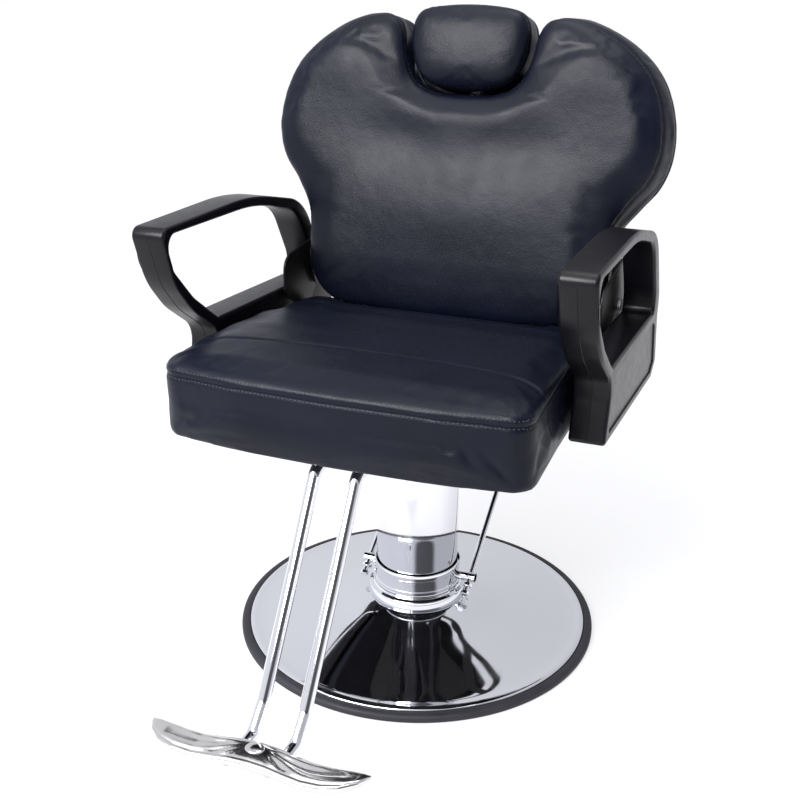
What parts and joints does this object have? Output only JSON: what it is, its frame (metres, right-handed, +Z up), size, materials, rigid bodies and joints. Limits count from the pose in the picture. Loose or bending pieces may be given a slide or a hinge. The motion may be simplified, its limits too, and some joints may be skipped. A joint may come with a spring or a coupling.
{
  "type": "hydraulic barber chair",
  "caption": "Padded salon chair on a round chrome base, with a foot-pumped hydraulic lift, swivel, reclining heart-shaped back, sliding headrest, looped armrests and a winged footrest.",
  "frame": {"origin": "on the floor, on the swivel axis, under the middle of the round base", "axes": "+Z up along the pump and swivel axis; the sitter faces -Y, and +X is the sitter's left"},
  "size_m": [0.6504, 0.9077, 0.9778],
  "materials": {
    "rubber": "satin moulded",
    "chrome": "mirror polished",
    "cast_aluminium": "polished casting",
    "black_steel": "black powder coat",
    "zinc_steel": "zinc plated",
    "seal": "matt",
    "bronze": "machined",
    "vinyl": "semi-gloss faux leather, near black with a blue cast",
    "arm_foam": "satin self-skinned polyurethane",
    "plywood": "raw",
    "black_plywood": "stained black"
  },
  "bodies": {
    "base": {"base_rim_trim": "rubber", "base_dome": "chrome", "base_ballast_plate": "black_steel", "pump_block": "black_steel", "pump_cylinder": "black_steel", "cylinder_gland_nut": "zinc_steel", "ram_seal": "seal", "pump_flange": "cast_aluminium", "pump_collar": "chrome"},
    "lift": {"pump_ram": "chrome", "pump_sleeve": "chrome", "swivel_bearing": "bronze"},
    "seat": {"swivel_hub": "zinc_steel", "seat_plate": "black_steel", "seat_rail_left": "black_steel", "seat_rail_right": "black_steel", "seat_cross_front": "black_steel", "seat_cross_rear": "black_steel", "seat_board": "black_plywood", "seat_cushion": "vinyl", "armrest_left": "arm_foam", "armrest_right": "arm_foam", "arm_bracket_left": "black_steel", "arm_bracket_right": "black_steel", "arm_bolt_left": "zinc_steel", "arm_bolt_right": "zinc_steel", "seat_hinge_plate_left": "black_steel", "seat_hinge_plate_right": "black_steel", "recline_bolt_left": "zinc_steel", "recline_bolt_right": "zinc_steel", "strut_pin_lower": "zinc_steel", "lever_bracket": "black_steel", "footrest_bar_left": "chrome", "footrest_bar_right": "chrome", "footrest_clamp": "black_steel", "footplate": "cast_aluminium", "footplate_screw_left": "zinc_steel", "footplate_screw_right": "zinc_steel"},
    "pedal": {"pedal_pin_left": "chrome", "pedal_pin_right": "chrome", "pedal_rod_left": "chrome", "pedal_rod_right": "chrome", "pedal_crossbar": "chrome", "pedal_grip": "rubber"},
    "plunger": {"pump_plunger": "zinc_steel"},
    "back": {"back_cushion": "vinyl", "back_board": "plywood", "back_rear_cover": "vinyl", "back_cross_bar": "black_steel", "back_hinge_plate_left": "black_steel", "back_hinge_plate_right": "black_steel", "headrest_guide": "black_steel", "strut_pin_upper": "zinc_steel"},
    "strut": {"strut_cylinder": "black_steel"},
    "strut_shaft": {"strut_rod": "chrome"},
    "lever": {"recline_lever": "chrome", "lever_knob": "rubber"},
    "headrest": {"headrest_cushion": "vinyl", "headrest_board": "plywood", "headrest_post": "chrome"}
  },
  "joints": [
    {"name": "lift_height", "type": "slide", "parent": "base", "child": "lift", "axis": [0, 0, 1], "range_m": [0, 0.15]},
    {"name": "swivel", "type": "hinge", "parent": "lift", "child": "seat", "pos_m": [0, 0, 0.39], "axis": [0, 0, 1], "continuous": true},
    {"name": "pump_pedal", "type": "hinge", "parent": "base", "child": "pedal", "pos_m": [0, 0.0105, 0.0875], "axis": [-1, 0, 0], "range_deg": [0, 22], "stiffness_Nm_per_rad": 6, "springref_deg": -34.38},
    {"name": "plunger_stroke", "type": "slide", "parent": "base", "child": "plunger", "axis": [0, 0, 1], "range_m": [-0.0072, 0]},
    {"name": "recline", "type": "hinge", "parent": "seat", "child": "back", "pos_m": [0, 0.1965, 0.526], "axis": [-1, 0, 0], "range_deg": [0, 36]},
    {"name": "strut_tilt", "type": "hinge", "parent": "seat", "child": "strut", "pos_m": [0, 0.205, 0.401], "axis": [-1, 0, 0], "range_deg": [0, 9.2]},
    {"name": "strut_stroke", "type": "slide", "parent": "strut", "child": "strut_shaft", "axis": [0, 0.2348, 0.972], "range_m": [-0.029, 0]},
    {"name": "release_lever", "type": "hinge", "parent": "seat", "child": "lever", "pos_m": [-0.25, 0.12, 0.396], "axis": [-1, 0, 0], "range_deg": [0, 12], "stiffness_Nm_per_rad": 0.5, "springref_deg": -17.19},
    {"name": "headrest_height", "type": "slide", "parent": "back", "child": "headrest", "axis": [0, 0.2419, 0.9703], "range_m": [0, 0.1]}
  ],
  "couplings": [
    {"joint": "plunger_stroke", "follows": "pump_pedal", "m_per_rad": -0.018},
    {"joint": "strut_tilt", "follows": "recline", "ratio": 0.2493},
    {"joint": "strut_stroke", "follows": "recline", "m_per_rad": -0.045}
  ]
}
